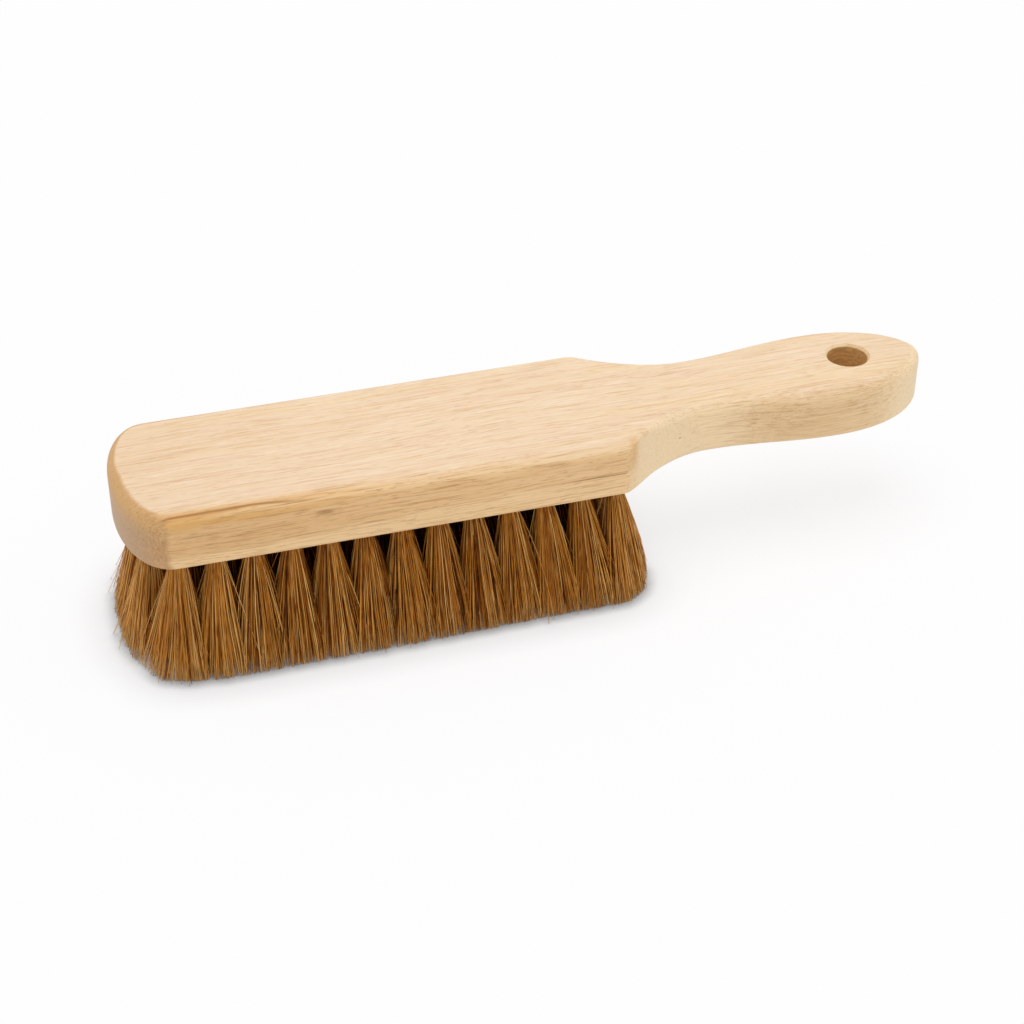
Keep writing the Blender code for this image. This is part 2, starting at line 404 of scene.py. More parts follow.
def beechFinish():
    paint = Paint("beech")
    tone = {name: onScreen(*value) for name, value in beech["tones"].items()}
    place = paint.node("ShaderNodeTexCoord", {}, {}, "Object")
    facing = paint.node("ShaderNodeTexCoord", {}, {}, "Normal")
    along, across, up = (
        paint.node("ShaderNodeSeparateXYZ", {}, {0: place}, axis) for axis in "XYZ"
    )
    along = along - nose
    ahead, sideways, upwards = (
        paint.node("ShaderNodeSeparateXYZ", {}, {0: facing}, axis) for axis in "XYZ"
    )

    def nearPoint(point, reach):
        # 1 at a point of the board, 0 at this distance from it
        away = (along - point[0]) ** 2 + (across - point[1]) ** 2 + (up - point[2]) ** 2
        return 1 - (away ** 0.5).between(0, reach)

    # the grain sways a little on its way along the board
    swing = paint.noise(place, (75 * mm, 40 * mm, 40 * mm), detail=1)
    swayAcross, swayUp = beech["sway"]
    sway = paint.node(
        "ShaderNodeCombineXYZ", {}, {"Y": (swing - 0.5) * swayAcross, "Z": (0.5 - swing) * swayUp}
    )
    grain = paint.node("ShaderNodeVectorMath", {"operation": "ADD"}, {0: place, 1: sway})
    blushBand = paint.noise(grain, (300 * mm, 7 * mm, 7 * mm), detail=2, shift=1)
    strawBand = paint.noise(grain, (220 * mm, 4.5 * mm, 4.5 * mm), detail=2, shift=23)
    streak = paint.noise(grain, (26 * mm, 0.8 * mm, 0.8 * mm), detail=4, roughness=0.65)
    vessels = paint.noise(grain, (5 * mm, 0.36 * mm, 0.36 * mm), detail=1, shift=3)
    glints = paint.noise(grain, (4.5 * mm, 0.42 * mm, 0.42 * mm), detail=1, shift=11)
    dashes = paint.noise(grain, (11 * mm, 0.6 * mm, 0.6 * mm), detail=2, roughness=0.6, shift=17)
    lines = paint.noise(grain, (70 * mm, 1.6 * mm, 0.55 * mm), detail=3, shift=31)
    cloud = paint.noise(place, (34 * mm, 9 * mm, 4 * mm), detail=3, shift=41)

    # the broad faces
    blush, straw = beech["bands"]
    colour = paint.mixed(blushBand.between(0.44, 0.66) * blush, tone["cream"], tone["blush"])
    colour = paint.mixed(strawBand.between(0.48, 0.68) * straw, colour, tone["straw"])
    ends = along.between(8 * mm, 80 * mm) * (1 - along.between(250 * mm, 275 * mm))
    colour = paint.mixed((1 - ends) * 0.22, colour, tone["shadeTan"])

    # the sides, whose honey colour climbs onto the rim near the nose and in blotches
    pastNose = along.between(20 * mm, 100 * mm)
    held = pastNose * 0.15 + along.between(110 * mm, 150 * mm) * 0.16
    climbed = abs(sideways) - held + (cloud - 0.5) * beech["blotches"]
    climbed = climbed * (1 - pastNose * 0.4)
    onSide = climbed.between(-0.06, 0.5) * abs(sideways).between(0.06, 0.24)
    honey = paint.mixed(along.between(0, 120 * mm), tone["honeyNose"], tone["honeyTip"])
    bandLow, bandHigh = beech["sideBand"]
    wander = (cloud - 0.5) * beech["wander"]
    band = up - bandLow - along.between(0, 150 * mm) * (bandHigh - bandLow) + wander
    honey = paint.mixed(1 - band.between(-1.4 * mm, 1.4 * mm), honey, tone["honeyLow"])
    high = (up + wander).between(52.6 * mm, 55.4 * mm)
    high = high * (1 - along.between(30 * mm, 110 * mm) * 0.9)
    high = high * (1 - up.between(54.8 * mm, 56.4 * mm) * along.between(18 * mm, 45 * mm) * 0.7)
    honey = paint.mixed(high * beech["goldenRim"], honey, tone["amber"])
    # painted highlight: the rounded rim is paler, from a thin strip near the nose to all of it
    # near the shoulder
    wide = along.between(50 * mm, 130 * mm)
    thin = along.between(20 * mm, 40 * mm) * (1 - wide) * 0.6
    rim = up.between(53.4 * mm, 56 * mm) * wide + up.between(54.9 * mm, 56.1 * mm) * thin
    rim = rim * (1 - up.between(56.2 * mm, 57.1 * mm))
    honey = paint.mixed(rim * 0.5, honey, tone["honeyNeck"])
    honey = paint.mixed(lines.between(0.5, 0.66) * 0.3, honey, tone["amber"])
    bandLine = (1 - abs(band).between(0.05 * mm, 0.45 * mm)) * lines.between(0.4, 0.6)
    honey = paint.mixed(bandLine * 0.3, honey, tone["warmLine"])
    honey = paint.mixed(along.between(162 * mm, 176 * mm), honey, tone["honeyNeck"])
    honey = paint.mixed(along.between(196 * mm, 226 * mm), honey, tone["honeyPalm"])
    honey = paint.mixed(along.between(255 * mm, 276 * mm), honey, tone["honeyNeck"])
    handGrain = lines.between(0.46, 0.6) * along.between(192 * mm, 214 * mm)
    honey = paint.mixed(handGrain * 0.25, honey, tone["fleck"])
    colour = paint.mixed(onSide, colour, honey)

    # the ends of the grain: dark at the nose, pale and dotted in the scoops and at the tip; the
    # dark nose and the pale scoops are partly the cut grain's own colour and partly painted shade
    # and light
    forward = 0 - ahead + (cloud - 0.5) * 0.3
    noseEnd = paint.mixed(forward.between(0.5, 0.98), tone["noseCorner"], tone["noseLow"])
    high = (up + (cloud - 0.5) * (8 * mm)).between(48 * mm, 56 * mm)
    noseEnd = paint.mixed(high * beech["goldenRim"], noseEnd, tone["noseHigh"])
    onNose = forward.between(0.06, 0.4)
    colour = paint.mixed(onNose, colour, noseEnd)
    cutAway = ahead.between(0.12, 0.5) * along.between(161 * mm, 171 * mm)
    colour = paint.mixed(cutAway * 0.8, colour, tone["scoopEnd"])
    rounded = upwards.between(0.25, 0.5) * (1 - upwards.between(0.86, 0.98))
    dotted = cutAway + rounded * along.between(164 * mm, 182 * mm) * 0.8
    dots = paint.noise(place, (2.4 * mm, 0.36 * mm, 0.36 * mm), detail=1, shift=53)
    dotted = dotted * beech["endDots"]
    colour = paint.mixed(dots.between(0.54, 0.7) * dotted, colour, tone["dot"])
    colour = paint.mixed((1 - dots.between(0.3, 0.46)) * dotted, colour, tone["pale"])
    # roughest at the near corner
    pores = paint.noise(place, (2 * mm, 0.42 * mm, 1.6 * mm), detail=3, shift=61)
    rasped = onNose * (0.35 + (1 - forward.between(0.4, 0.95)) * 0.65)
    dark, light = (rasped * much for much in beech["roughEnds"])
    colour = paint.mixed(pores.between(0.5, 0.66) * dark, colour, tone["warmLine"])
    colour = paint.mixed((1 - pores.between(0.36, 0.5)) * light, colour, tone["honeyLow"])

    # the hanging hole, whose wall has soaked up more finish
    holeAlong = woodHigh.x - nose - hanging["fromTip"]
    fromHole = ((along - holeAlong) ** 2 + (across - stock["handleSway"]) ** 2) ** 0.5
    fromHole = fromHole - hanging["radius"]
    offChamfer = abs(fromHole - hanging["chamfer"] / 2).between(0.2 * mm, hanging["chamfer"])
    colour = paint.mixed((1 - offChamfer) * 0.6, colour, tone["chamfer"])
    wall = 1 - fromHole.between(0.05 * mm, 0.3 * mm)
    colour = paint.mixed(wall, colour, tone["bore"])
    colour = paint.mixed(streak.between(0.35, 0.6) * wall * 0.4, colour, tone["brownLine"])

    # fine marks over all of it
    plain = (1 - onSide * 0.8) * (1 - onNose) * (1 - wall)
    lower = (1 - band.between(-1.5 * mm, 0.5 * mm)) * abs(sideways)
    scoop = along.between(165 * mm, 170 * mm) * (1 - along.between(196 * mm, 214 * mm))
    scoop = scoop * abs(sideways).between(0.2, 0.5)
    lengthwise = (1 - cutAway * 0.65) * (1 - lower * 0.5) * (1 - scoop * 0.5)
    onFlank = onSide * (1 - cutAway * 0.9) * (1 - along.between(158 * mm, 172 * mm) * 0.6)
    flecks, sideFlecks = lengthwise * beech["flecks"], onFlank * beech["sideFlecks"]
    colour = paint.mixed(streak.between(0.48, 0.72) * flecks, colour, tone["fleck"])
    colour = paint.mixed((1 - streak.between(0.3, 0.47)) * plain * 0.5, colour, tone["pale"])
    colour = paint.mixed(streak.between(0.5, 0.7) * sideFlecks, colour, tone["warmLine"])
    colour = paint.mixed(vessels.between(0.6, 0.72) * flecks * 0.8, colour, tone["fleck"])
    colour = paint.mixed(vessels.between(0.6, 0.7) * onFlank * 0.2, colour, tone["warmLine"])
    colour = paint.mixed(dashes.between(0.64, 0.72) * flecks, colour, tone["fleck"])
    colour = paint.mixed(
        glints.between(0.62, 0.74) * plain * beech["glints"], colour, tone["pale"]
    )
    darkLines = (lines.between(0.6, 0.7) + dashes.between(0.63, 0.7) * 0.6) * onFlank
    darkLines = darkLines * (0.3 + band.between(-1.5 * mm, 0.5 * mm) * 0.7)
    colour = paint.mixed(darkLines * beech["sideLines"], colour, tone["brownLine"])

    # marks of this board: first a dark line along the near rim, partly a line in the grain and
    # partly painted shade where the top turns into the rounding
    line = beech["rimLine"]
    start, end = line["start"], line["end"]
    bend = along.between(end - 26 * mm, end) * (1.4 * mm) + (swing - 0.5) * (0.8 * mm)
    dark = 1 - abs(across - line["across"] + bend).between(0.05 * mm, 0.6 * mm)
    dark = dark * up.between(54 * mm, 56 * mm)
    dark = dark * along.between(start, start + 5 * mm) * (1 - along.between(end - 20 * mm, end))
    colour = paint.mixed(dark * 0.8, colour, tone["warmLine"])
    # the shoulder's edge is a soft golden line, and a dark line of the grain ends near it
    nearSide = 1 - across.between(-24 * mm, -20 * mm)
    ridge = 1 - abs(along - beech["ridgeFromNose"]).between(0.4 * mm, 2.6 * mm)
    ridge = ridge * nearSide * up.between(43 * mm, 52 * mm) * (1 - upwards.between(0.9, 0.99))
    colour = paint.mixed(ridge * 0.45, colour, tone["amber"])
    line = beech["sideLine"]
    start, end = line["start"], line["end"]
    dark = 1 - abs(up - line["up"] + (swing - 0.5) * (3 * mm)).between(0.05 * mm, 0.35 * mm)
    dark = dark * along.between(start, end - 6 * mm) * (1 - along.between(end - 2 * mm, end))
    colour = paint.mixed(dark * nearSide * 0.75, colour, tone["brownLine"])
    smudge = nearPoint(beech["smudgePlace"], beech["smudgeReach"]) * streak.between(0.3, 0.6)
    colour = paint.mixed(smudge * 0.6, colour, tone["smudge"])
    knot = beech["knot"]
    fromKnot = (((along - knot["along"]) / knot["stretch"]) ** 2 + (up - knot["up"]) ** 2) ** 0.5
    dark = (1 - fromKnot.between(0.4 * mm, 1.3 * mm)) * nearSide * dashes.between(0.45, 0.56)
    colour = paint.mixed(dark * 0.6, colour, tone["brownLine"])
    for point, reach, strength, name in beech["spots"]:
        colour = paint.mixed(nearPoint(point, reach) * strength, colour, tone[name])

    bump = paint.node("ShaderNodeBump", {}, {
        "Height": streak * 0.6 - vessels * 0.4,
        "Strength": 0.3,
        "Distance": beech["grainDepth"],
    })
    paint.fill(paint.shader, {
        "Base Color": colour,
        "Roughness": beech["roughness"] + (streak - 0.5) * beech["roughnessVaries"],
        "Normal": bump,
        "Specular IOR Level": beech["specular"],
    })
    return paint.material


# The stock, head and handle in one board

stock = {
    "headLength": 163.0 * mm,
    "scoopLength": 33.4 * mm,
    "swellLength": 46.6 * mm,
    "tipLength": 37.0 * mm,
    "headHalf": 30.1 * mm,
    "neckHalf": 15.3 * mm,
    "palmHalf": 19.65 * mm,
    "noseDepth": 15.5 * mm,
    "noseFullness": 2.1,
    "scoopHollowness": 1.8,
    "tipFullness": (2.2, 1.65),
    # how far round its end the tip is sawn in stations, before the last flat facet
    "tipRoundShare": 0.945,
    # roundings, those in pairs on the near side and on the far one
    "noseRound": (5.4 * mm, 3.4 * mm),
    "headRound": (5.0 * mm, 3.9 * mm),
    "shoulderRim": (0.15 * mm, 3.9 * mm),
    "neckRound": (4.5 * mm, 3.8 * mm),
    "palmRound": (6.5 * mm, 4.4 * mm),
    "tipRound": 4.4 * mm,
    "noseUnder": 2.0 * mm,
    "headUnder": 1.0 * mm,
    "handUnder": 3.5 * mm,
    "shoulderRound": 9 * mm,
    "shoulderTurns": (0.06, 0.13, 0.2, 0.27, 0.34, 0.41, 0.48, 0.55, 0.62),
    "nearShoulder": 0.8 * mm,
    # the board grows a little thicker from the nose, and the handle turns to the far side
    "taper": 0.0048,
    "handleSway": 0.8 * mm,
    # where one rounding or shift gives way to the next: from the nose, and over what length
    "noseFade": (0, 25 * mm),
    "neckFade": (164 * mm, 20 * mm),
    "palmFade": (185 * mm, 50 * mm),
    "tipFade": (245 * mm, 30 * mm),
    "underFade": (163 * mm, 30 * mm),
    "swayFade": (165 * mm, 65 * mm),
    "fullerFrom": (159 * mm, 8 * mm),
    "fullerUntil": (167 * mm, 10 * mm),
    # the blank is wider and longer than what is cut from it
    "blankHalf": 45 * mm,
    "runOut": (10 * mm, 5 * mm),
    "runIn": 2 * mm,
    "runInSlope": -8,
    "overlap": 0.012 * mm,
    "tolerance": 0.001 * mm,
    "rimSteps": 9,
}

# A station along the board is a place along it from the nose, the half width there, and the
# way that its point moves, along and across, for each unit that a rounding draws it in.


def onArc(share, along, across):
    turn = share * math.pi / 2
    return math.cos(turn) ** (2 / along), math.sin(turn) ** (2 / across)


def noseStations(steps=34):
    fullness = stock["noseFullness"]
    for step in range(steps):
        back, out = onArc((step + 0.5) / (steps - 0.5), fullness, fullness)
        yield stock["noseDepth"] * (1 - back), stock["headHalf"] * out, back, -out


def onSlope(x, half, slope):
    long = math.hypot(1, slope)
    return x, half, slope / long, -1 / long


def handleStations(scoopSteps=28, easedSteps=3, swellSteps=24, tipSteps=40):
    # from the corner where the shaper enters the side of the board, which is eased, to the tip
    drop = stock["headHalf"] - stock["neckHalf"]
    hollowness = stock["scoopHollowness"]
    steepest = -hollowness * drop / stock["scoopLength"]
    radius = stock["shoulderRound"]
    entry = stock["headLength"] - radius * math.tan(math.atan(-steepest) / 2)
    yield onSlope(entry - stock["runIn"], stock["blankHalf"], stock["runInSlope"])
    for turn in stock["shoulderTurns"]:
        yield onSlope(
            entry + radius * math.sin(turn),
            stock["headHalf"] - radius * (1 - math.cos(turn)),
            -math.tan(turn),
        )
    for step in range(easedSteps, scoopSteps):
        left = 1 - step / scoopSteps
        yield onSlope(
            stock["headLength"] + stock["scoopLength"] * (1 - left),
            stock["neckHalf"] + drop * left ** hollowness,
            steepest * left ** (hollowness - 1),
        )
    neck = stock["headLength"] + stock["scoopLength"]
    swell = stock["palmHalf"] - stock["neckHalf"]
    for step in range(swellSteps):
        turn = math.pi * step / swellSteps
        yield onSlope(
            neck + stock["swellLength"] * step / swellSteps,
            stock["neckHalf"] + swell * (1 - math.cos(turn)) / 2,
            swell * math.pi * math.sin(turn) / 2 / stock["swellLength"],
        )
    palm = neck + stock["swellLength"]
    for step in range(tipSteps):
        share = 1 - stock["tipRoundShare"] * step / (tipSteps - 1)
        along, out = onArc(share, *stock["tipFullness"])
        yield palm + stock["tipLength"] * along, stock["palmHalf"] * out, -along, -out


def sawnBlank(name, stations, bottom, top):
    # a board sawn across at each station and drawn in to the outline there
    start, end = nose + stations[0][0], nose + stations[-1][0]
    pickNothing()
    bpy.ops.mesh.primitive_cube_add(size=1)
    blank = nameActive(name)
    bpy.ops.object.mode_set(mode="EDIT")
    bpy.ops.mesh.select_all(action="SELECT")
    bpy.ops.transform.resize(
        value=(end - start, 2 * stock["blankHalf"], top - bottom), center_override=(0, 0, 0)
    )
    bpy.ops.transform.translate(value=((start + end) / 2, 0, (bottom + top) / 2))
    tolerance = stock["tolerance"]
    for x, half, along, across in stations[1:-1]:
        bpy.ops.mesh.select_all(action="SELECT")
        bpy.ops.mesh.bisect(
            plane_co=(nose + x, 0, 0), plane_no=(1, 0, 0), threshold=tolerance
        )
    for x, half, along, across in stations:
        selectVerts(lambda place: abs(place.x - nose - x) < 2 * tolerance)
        bpy.ops.transform.resize(
            value=(1, half / stock["blankHalf"], 1), center_override=(nose + x, 0, 0)
        )
    # each broad face is made one face, which the roundings then draw in layer by layer
    for side in (1, -1):
        selectFaces(lambda face: face.normal.z * side > 0.99)
        bpy.ops.mesh.dissolve_faces()
    bpy.ops.mesh.select_all(action="SELECT")
    bpy.ops.mesh.normals_make_consistent(inside=False)
    bpy.ops.object.mode_set(mode="OBJECT")
    return blank


def roundRims(blank, stations, bottom, top, topRound, underRound):
    # the two broad faces are extruded in layers along a quarter circle, whose radius is the
    # one that belongs to the place along the board
    pickOnly(blank)
    bpy.ops.object.mode_set(mode="EDIT")
    bm = bmesh.from_edit_mesh(blank.data)
    drawIn = bm.verts.layers.float_vector.new("drawIn")
    for vert in bm.verts:
        x, half, along, across = min(stations, key=lambda one: abs(one[0] - vert.co.x + nose))
        vert[drawIn] = (along, math.copysign(across, -vert.co.y), x)
    bmesh.update_edit_mesh(blank.data)
    for side, face, radiusAt in ((1, top, topRound), (-1, bottom, underRound)):
        selectFaces(lambda cap: cap.normal.z * side > 0.99)
        before = 0
        for step in range(stock["rimSteps"] + 1):
            if step:
                bpy.ops.mesh.extrude_region_move()
            turn = step / stock["rimSteps"] * math.pi / 2
            bm = bmesh.from_edit_mesh(blank.data)
            drawIn = bm.verts.layers.float_vector["drawIn"]
            for vert in bm.verts:
                if vert.select:
                    along, across, x = vert[drawIn]
                    # across runs from 1 on the near side to -1 on the far one
                    radius = radiusAt(x, eased(0.5 - across * 0.7))
                    further = radius * (math.cos(before) - math.cos(turn))
                    vert.co.x += along * further
                    vert.co.y += across * further
                    vert.co.z = face - side * radius * (1 - math.sin(turn))
                    if side < 0:
                        vert.co.z -= x * stock["taper"]
            bmesh.update_edit_mesh(blank.data)
            before = turn
    bpy.ops.object.mode_set(mode="OBJECT")
    blank.data.attributes.remove(blank.data.attributes["drawIn"])


def eased(share):
    held = min(max(share, 0), 1)
    return held * held * (3 - 2 * held)


def blend(start, end, share):
    return start + (end - start) * eased(share)


def past(fade, x):
    # how far along one of the stretches named above: 0 or less before it, 1 or more after it
    start, length = stock[fade]
    return (x - start) / length


def moulding(x, far):
    # the head's moulded rim; far is 0 on the near side and 1 on the far one
    start, after = (blend(*stock[name], far) for name in ("noseRound", "headRound"))
    return blend(start, after, past("noseFade", x))


def headUnder(x, far):
    return blend(stock["noseUnder"], stock["headUnder"], past("noseFade", x))


def handRound(x, far):
    # the shaper leaves a crisp edge at the near shoulder, and sanding rounds it towards the tip
    shoulder, neck, palm = (
        blend(*stock[name], far) for name in ("shoulderRim", "neckRound", "palmRound")
    )
    grown = blend(shoulder, neck, past("neckFade", x))
    grown = blend(grown, palm, past("palmFade", x))
    return blend(grown, stock["tipRound"], past("tipFade", x))


def handUnder(x, far):
    return blend(stock["headUnder"], stock["handUnder"], past("underFade", x))


def swayAt(x):
    return blend(0, stock["handleSway"], past("swayFade", x))


def fullnessAt(x):
    # the near shoulder is left a little fuller than the far one
    swell = eased(past("fullerFrom", x)) - eased(past("fullerUntil", x))
    return stock["nearShoulder"] * swell


hanging = {
    "fromTip": 26.6 * mm,
    "radius": 6.85 * mm,
    "chamfer": 0.9 * mm,
    "sides": 72,
    "overrun": 2 * mm,
}


def hangingCutter():
    # a bore with a funnel at each end
    pickNothing()
    x = woodHigh.x - hanging["fromTip"]
    bottom = underside - (x - nose) * stock["taper"]
    face = (topFace - bottom) / 2
    place = Vector((x, swayAt(x - nose), (topFace + bottom) / 2))
    bpy.ops.mesh.primitive_cylinder_add(
        vertices=hanging["sides"], radius=hanging["radius"],
        depth=2 * (face - hanging["chamfer"]), location=place,
    )
    cutter = nameActive("hanging_bore")
    bpy.ops.object.transform_apply(location=True, rotation=True, scale=True)
    bpy.ops.object.mode_set(mode="EDIT")
    flare = hanging["chamfer"] + hanging["overrun"]
    wider = 1 + flare / hanging["radius"]
    for side in (1, -1):
        selectFaces(lambda face: face.normal.z * side > 0.9)
        bpy.ops.mesh.extrude_region_move(TRANSFORM_OT_translate={"value": (0, 0, side * flare)})
        bpy.ops.transform.resize(value=(wider, wider, 1), center_override=place)
    bpy.ops.object.mode_set(mode="OBJECT")
    return cutter


drill = {
    "radius": 2.6 * mm,
    "depth": 12 * mm,
    "point": 0.7 * mm,
    "pointInset": 0.8,  # of the radius
    "sides": 18,
    "overrun": 2 * mm,
}
tuftNodes = sorted(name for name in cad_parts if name.startswith("tuft_"))


def rootOf(node):
    # where a tuft's hole is: the middle of what stands inside the wood
    inside = [
        vert.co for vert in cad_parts[node].data.vertices
        if vert.co.z > underside + drill["depth"] / 2
    ]
    return Vector((
        (min(co.x for co in inside) + max(co.x for co in inside)) / 2,
        (min(co.y for co in inside) + max(co.y for co in inside)) / 2,
        underside,
    ))


roots = {node: rootOf(node) for node in tuftNodes}


def drillCutter():
    pickNothing()
    length = drill["depth"] + drill["overrun"]
    bpy.ops.mesh.primitive_cylinder_add(
        vertices=drill["sides"], radius=drill["radius"], depth=length,
        location=(0, 0, length / 2 - drill["overrun"]),
    )
    bit = nameActive("drill_bit")
    bpy.ops.object.transform_apply(location=True, rotation=True, scale=True)
    bpy.ops.object.mode_set(mode="EDIT")
    selectFaces(lambda face: face.normal.z > 0.9)
    bpy.ops.mesh.inset(thickness=drill["radius"] * drill["pointInset"])
    bpy.ops.transform.translate(value=(0, 0, drill["point"]))
    bpy.ops.object.mode_set(mode="OBJECT")
    bits = [copyOf(bit, "drill_" + node, root) for node, root in roots.items()]
    bpy.data.objects.remove(bit)
    return joined(bits, "drilled_holes")


def cut(piece, cutter, operation):
    applyModifier(piece, "BOOLEAN", operation=operation, solver="EXACT", object=cutter)
    bpy.data.objects.remove(cutter)


def makeStock():
    before, after = stock["runOut"]
    straight = [*noseStations(), (woodHigh.x - nose + after, stock["headHalf"], 0, -1)]
    board = sawnBlank("beech_stock", straight, underside, topFace)
    roundRims(board, straight, underside, topFace, moulding, headUnder)
    bottom, top = underside - stock["overlap"], topFace + stock["overlap"]
    shapes = [(-before, stock["blankHalf"], 0, -1), *handleStations()]
    shaped = sawnBlank("shaper_cut", shapes, bottom, top)
    roundRims(shaped, shapes, bottom, top, handRound, handUnder)
    for vert in shaped.data.vertices:
        x, near = vert.co.x - nose, vert.co.y < 0
        vert.co.y += swayAt(x) - near * fullnessAt(x)
    cut(board, shaped, "INTERSECT")
    cut(board, hangingCutter(), "DIFFERENCE")
    cut(board, drillCutter(), "DIFFERENCE")
    pickOnly(board)
    bpy.ops.object.shade_smooth_by_angle(angle=math.radians(28))
    applyModifier(board, "WEIGHTED_NORMAL", keep_sharp=True, mode="FACE_AREA", weight=80)
    board.data.materials.clear()
    board.data.materials.append(beechFinish())
    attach(board, "root")
    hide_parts("wooden_body")
    return board


board = makeStock()
print("beech stock shaped:", len(board.data.polygons), "faces")


# Anchors, the flat wires that hold the folds of the tufts at the bottom of their holes

anchor = {
    "length": 5.1 * mm,
    "height": 1.8 * mm,
    "thickness": 0.3 * mm,
    "fromBottom": 1.2 * mm,
    "corner": 0.35 * mm,
    "edge": 0.06 * mm,
    "colour": (196, 196, 192),
    "roughness": 0.38,
}


def wireFinish():
    paint = Paint("anchor_steel")
    paint.fill(paint.shader, {
        "Base Color": onScreen(*anchor["colour"]),
        "Roughness": anchor["roughness"],
        "Metallic": 1,
    })
    return paint.material


def makeAnchor():
    # a snipped length of flat wire, with rounded corners and a slight crown across its ends
    pickNothing()
    bpy.ops.mesh.primitive_cube_add(size=1)
    wire = nameActive("anchor_wire")
    bpy.ops.object.mode_set(mode="EDIT")
    bpy.ops.mesh.select_all(action="SELECT")
    bpy.ops.transform.resize(value=(anchor["length"], anchor["thickness"], anchor["height"]))
    bpy.ops.mesh.select_mode(type="EDGE")
    bm = bmesh.from_edit_mesh(wire.data)
    for edge in bm.edges:
        first, second = (vert.co for vert in edge.verts)
        edge.select = abs(first.y - second.y) > anchor["thickness"] / 2
    bm.select_flush_mode()
    bmesh.update_edit_mesh(wire.data)
    bpy.ops.mesh.bevel(offset=anchor["corner"], offset_type="OFFSET", segments=2)
    bpy.ops.object.mode_set(mode="OBJECT")
    applyModifier(wire, "BEVEL", width=anchor["edge"], segments=1, limit_method="ANGLE")
    wire.data.materials.append(wireFinish())
    return wire


anchorTemplate = makeAnchor()
for node, root in roots.items():
    above = drill["depth"] - anchor["fromBottom"] - anchor["height"] / 2
    wire = copyOf(anchorTemplate, "anchor_" + node[5:], root + Vector((0, 0, above)))
    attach(wire, "root")
bpy.data.objects.remove(anchorTemplate)
print("anchors set:", len(roots))


# Bristles

fibre = {
    "inInnerTuft": 420,
    "inOuterTuft": 620,
    "inEndTuft": 800,
    # the end tufts start at this share of the way from the middle to the nose or shoulder
    "endTuftsFrom": 0.88,
    "radius": 0.125 * mm,
    "girth": (0.78, 1.22),
    "sides": 3,
    # where the template is cut, root to tip
    "levels": (0, 0.23, 0.33, 0.45, 0.58, 0.72, 0.86, 1),
    "tipTaper": 0.8,
    "foldDepth": 0.94,  # of the hole's depth
    "rootRadius": 2.4 * mm,
    # how far the tips reach from the hole: along and across, and outside the end tufts
    "tipReach": (8.6 * mm, 11.5 * mm),
    "endReach": 14.5 * mm,
    "reachVaries": (0.8, 1.08),
    "strayReach": (1.04, 1.25),
    # each in the other tufts and in the end tufts
    "strayShare": (0.012, 0.04),
    "squareness": (0.5, 0.95),
    "endLean": 3.3 * mm,
    "sideLean": 7.0 * mm,
    # how soon the fibres spread, along and across: over 1, most of it near the wood;
    # in the middle tufts, at the nose and at the shoulder
    "bow": [(1.22, 1.1), (0.85, 0.85), (1.15, 0.85)],
    "crossShare": 0.06,
    "crossReach": 3.5 * mm,
    "turnVaries": 0.3,
    "wander": 0.42 * mm,
    "wave": 0.16 * mm,
    "waves": (1.5, 3.5),
    "ragged": 0.9 * mm,
    "endRagged": 6 * mm,
    "seed": 41,
}

# how light the fibres are: each has a shade, from 0 to 1 and a little past both
fibreLook = {
    "dark": (72, 24, 1),
    "mid": (174, 101, 27),
    "caramel": (218, 148, 60),
    "light": (242, 192, 116),
    "meanShade": 0.53,
    "shadeVaries": 0.39,
    "shadeRange": (-0.15, 1.15),
    "mottle": 0.5,
    # what is added to it: darker down the fibre; painted shade at the roots of the inner rows;
    # painted light at the trimmed ends, outside the end tufts, and near the nose and the shoulder
    "fallShade": 0.02,
    "paintedInnerShade": 0.75,
    "paintedTipLight": 0.42,
    "paintedTipLightFrom": 0.78,
    "paintedOutwardLight": 0.25,
    "paintedEndLight": (0.1, 0.02),
    "paintedEndLightFrom": 0.72,
    "roughness": 0.45,
    "specular": 0.1,
}

# the outline of the trimmed tips, with distances from the nose
trim = {
    "start": -3.2 * mm,
    "end": 176.6 * mm,
    "half": 39.1 * mm,
    "narrowing": 7.6 * mm,
    "narrowLength": 32 * mm,
    "endNarrowing": 0.9 * mm,
    "endNarrowingFade": (90 * mm, 40 * mm),
    "startDepth": 12 * mm,
    "endDepth": 18 * mm,
    "fullness": 2.3,
    "softness": 0.08,
}


def bristleFinish():
    paint = Paint("brush_fibre")
    shade = paint.node("ShaderNodeAttribute", {"attribute_name": "fibreShade"}, {}, "Fac")
    place = paint.node("ShaderNodeTexCoord", {}, {}, "Object")
    mottle = paint.noise(place, (1.2 * mm, 1.2 * mm, 9 * mm), detail=2)
    tone = shade + (mottle - 0.5) * fibreLook["mottle"]
    dark, mid, caramel, light = (
        onScreen(*fibreLook[name]) for name in ("dark", "mid", "caramel", "light")
    )
    colour = paint.mixed(tone.between(-0.1, 0.4), dark, mid)
    colour = paint.mixed(tone.between(0.35, 0.78), colour, caramel)
    colour = paint.mixed(tone.between(0.8, 1.1), colour, light)
    paint.fill(paint.shader, {
        "Base Color": colour,
        "Roughness": fibreLook["roughness"],
        "Specular IOR Level": fibreLook["specular"],
    })
    return paint.material


def fibreTemplate():
    # one straight fibre from z = 0 down to z = -1, cut across at each level
    pickNothing()
    bpy.ops.mesh.primitive_cylinder_add(
        vertices=fibre["sides"], radius=fibre["radius"], depth=1, location=(0, 0, -0.5)
    )
    template = nameActive("fibre_template")
    bpy.ops.object.transform_apply(location=True, rotation=True, scale=True)
    bpy.ops.object.mode_set(mode="EDIT")
    for level in fibre["levels"][1:-1]:
        bpy.ops.mesh.select_all(action="SELECT")
        bpy.ops.mesh.bisect(plane_co=(0, 0, -level), plane_no=(0, 0, 1))
    selectVerts(lambda place: place.z < -0.99)
    taper = fibre["tipTaper"]
    bpy.ops.transform.resize(value=(taper, taper, 1), center_override=(0, 0, -1))
    bpy.ops.object.mode_set(mode="OBJECT")
    return template


